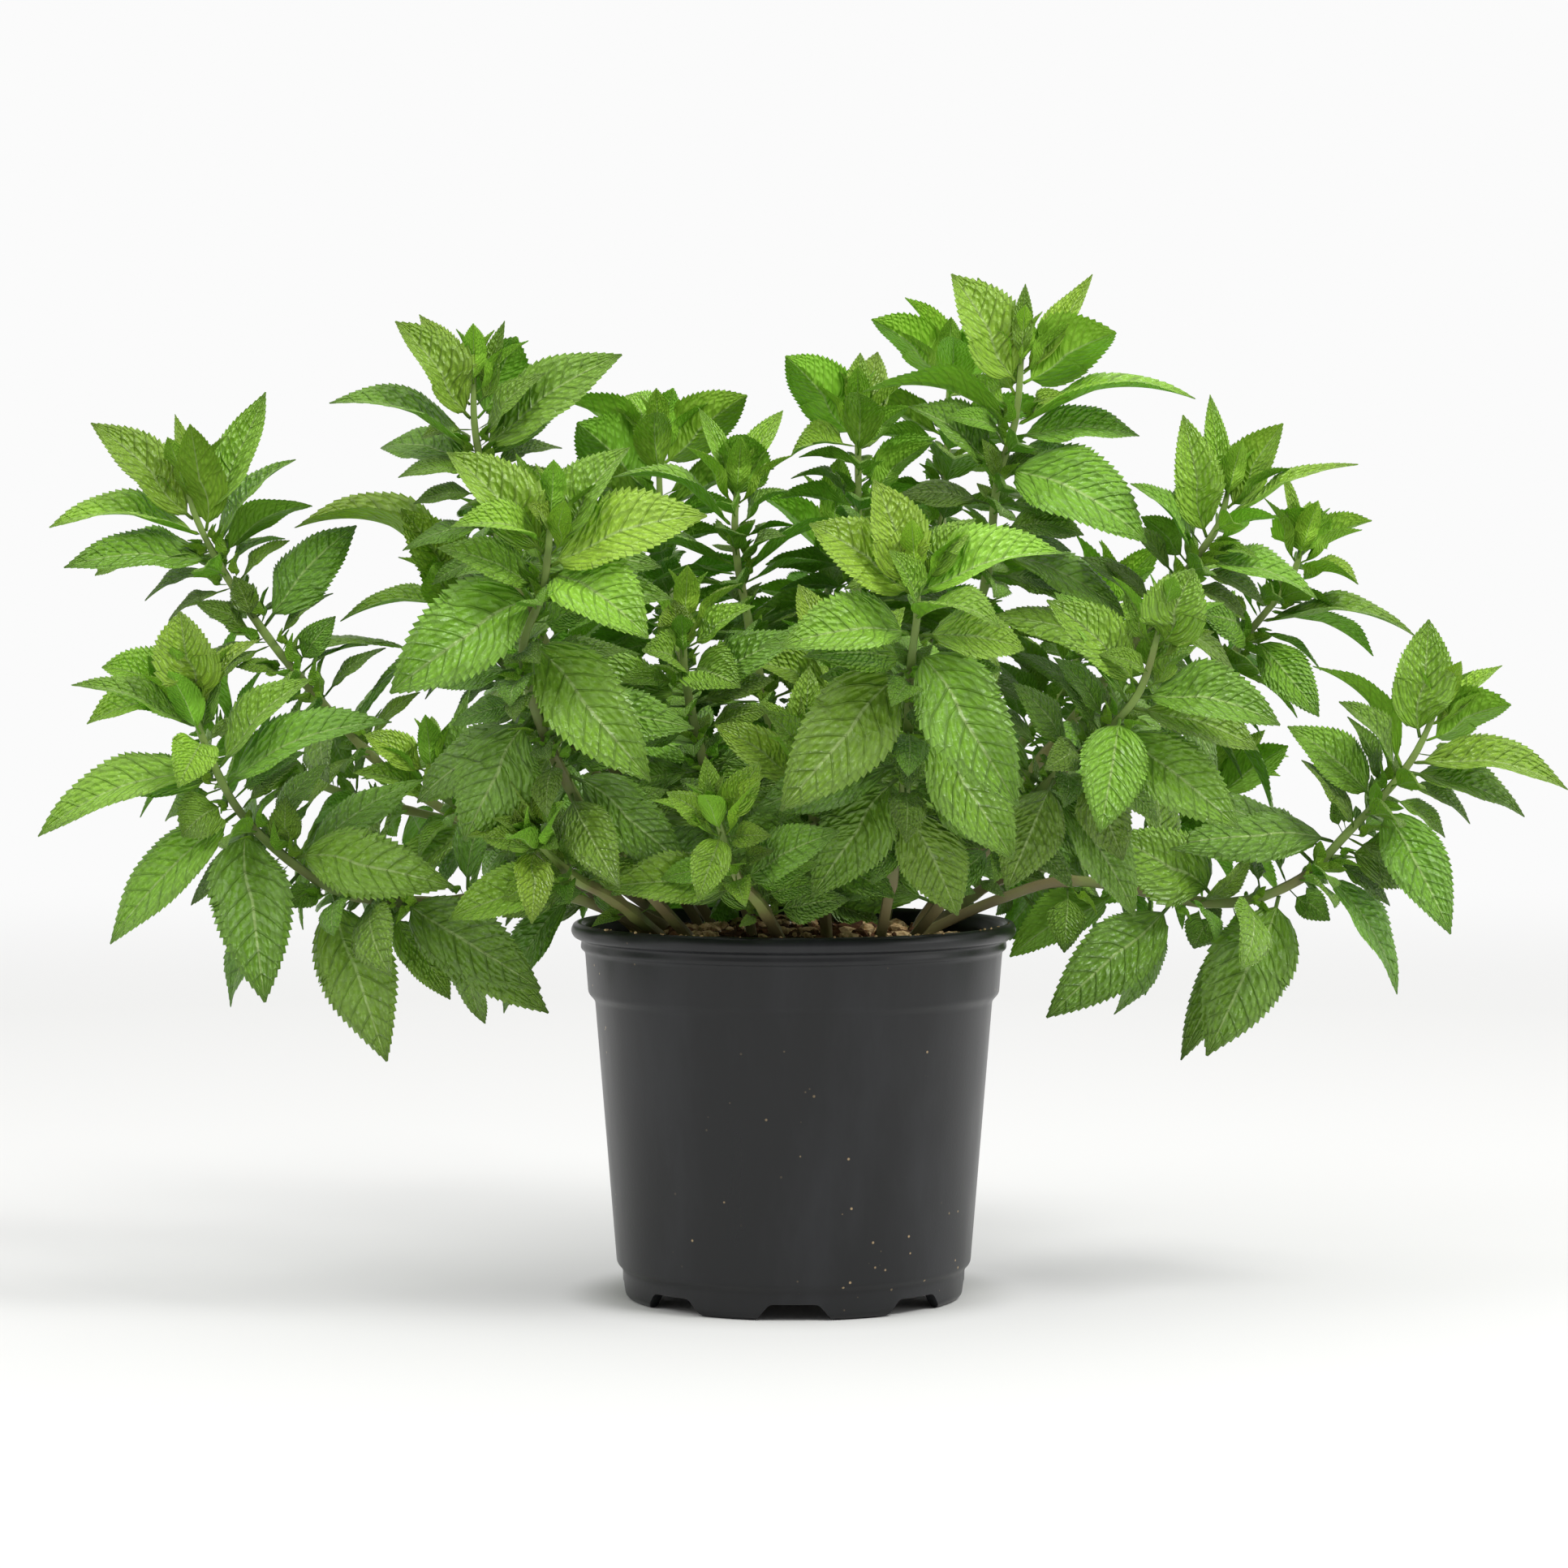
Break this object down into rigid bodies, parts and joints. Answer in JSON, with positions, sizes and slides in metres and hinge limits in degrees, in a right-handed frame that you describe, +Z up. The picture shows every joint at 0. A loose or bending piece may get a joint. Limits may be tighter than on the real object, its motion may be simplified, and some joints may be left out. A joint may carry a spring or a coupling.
{
  "type": "potted mint plant",
  "caption": "Bushy green mint plant growing in potting soil in a round black plastic nursery pot.",
  "frame": {"origin": "centre of the pot's foot on the ground, which is also the middle of the bounding box's underside to within a few millimetres", "axes": "+Z up out of the pot, +X along the plant's longer spread to the right as seen from the front, -Y towards the front"},
  "size_m": [0.559, 0.329, 0.379],
  "materials": {
    "pot_plastic": "satin",
    "potting_mix": "matte",
    "mint_stem": "matte",
    "mint_leaf": "matte"
  },
  "bodies": {
    "root": {"pot": "pot_plastic", "potting_soil": "potting_mix", "stem_01": "mint_stem", "stem_02": "mint_stem", "stem_03": "mint_stem", "stem_04": "mint_stem", "stem_05": "mint_stem", "stem_06": "mint_stem", "stem_07": "mint_stem", "stem_08": "mint_stem", "stem_09": "mint_stem", "stem_10": "mint_stem", "stem_11": "mint_stem", "stem_12": "mint_stem", "stem_13": "mint_stem", "stem_14": "mint_stem", "stem_15": "mint_stem", "stem_16": "mint_stem", "stem_17": "mint_stem", "stem_18": "mint_stem", "stem_19": "mint_stem", "stem_20": "mint_stem", "stem_21": "mint_stem", "stem_22": "mint_stem", "stem_23": "mint_stem", "stem_24": "mint_stem", "stem_25": "mint_stem", "stem_26": "mint_stem", "stem_27": "mint_stem", "leaf_01": "mint_leaf", "leaf_02": "mint_leaf", "leaf_03": "mint_leaf", "leaf_04": "mint_leaf", "leaf_05": "mint_leaf", "leaf_06": "mint_leaf", "leaf_07": "mint_leaf", "leaf_08": "mint_leaf", "leaf_09": "mint_leaf", "leaf_10": "mint_leaf", "leaf_11": "mint_leaf", "leaf_12": "mint_leaf", "leaf_13": "mint_leaf", "leaf_14": "mint_leaf", "leaf_15": "mint_leaf", "leaf_16": "mint_leaf", "leaf_17": "mint_leaf", "leaf_18": "mint_leaf", "leaf_19": "mint_leaf", "leaf_20": "mint_leaf", "leaf_21": "mint_leaf", "leaf_22": "mint_leaf", "leaf_23": "mint_leaf", "leaf_24": "mint_leaf", "leaf_25": "mint_leaf", "leaf_26": "mint_leaf", "leaf_27": "mint_leaf", "leaf_28": "mint_leaf", "leaf_29": "mint_leaf", "leaf_30": "mint_leaf", "leaf_31": "mint_leaf"}
  },
  "joints": []
}
